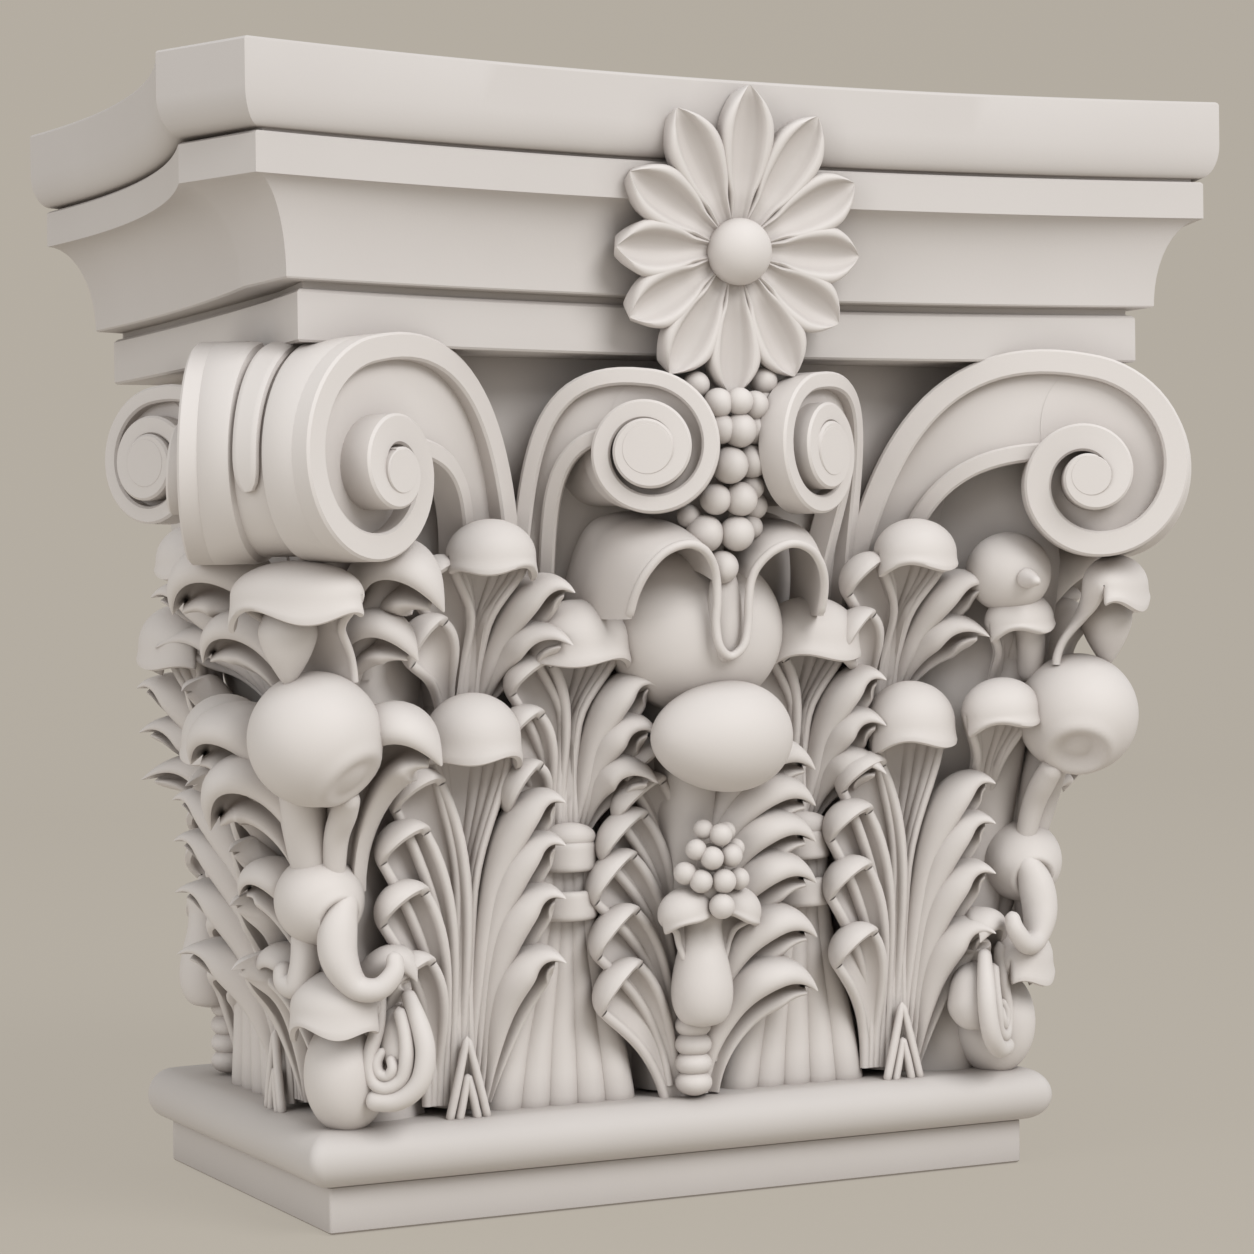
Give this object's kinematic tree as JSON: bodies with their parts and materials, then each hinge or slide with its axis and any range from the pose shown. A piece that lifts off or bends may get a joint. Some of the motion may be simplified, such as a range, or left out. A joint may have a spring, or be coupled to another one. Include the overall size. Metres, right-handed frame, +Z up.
{
  "type": "corinthian pilaster capital",
  "caption": "Corinthian pilaster capital with acanthus leaves, tied stalks, helices, corner volutes and a rosette on a curved abacus; caps a flat pilaster against a wall.",
  "frame": {"origin": "middle of the bounding box on the flat underside, where the capital sits on the pilaster's shaft", "axes": "+Z up, front towards -Y, flat wall face towards +Y, +X to the right seen from the front"},
  "size_m": [0.4408, 0.2574, 0.4238],
  "materials": {
    "plaster": "matt unpainted plaster, lighter on worn edges and darker in the hollows"
  },
  "bodies": {
    "root": {"pilaster_capital": "plaster"}
  },
  "joints": []
}
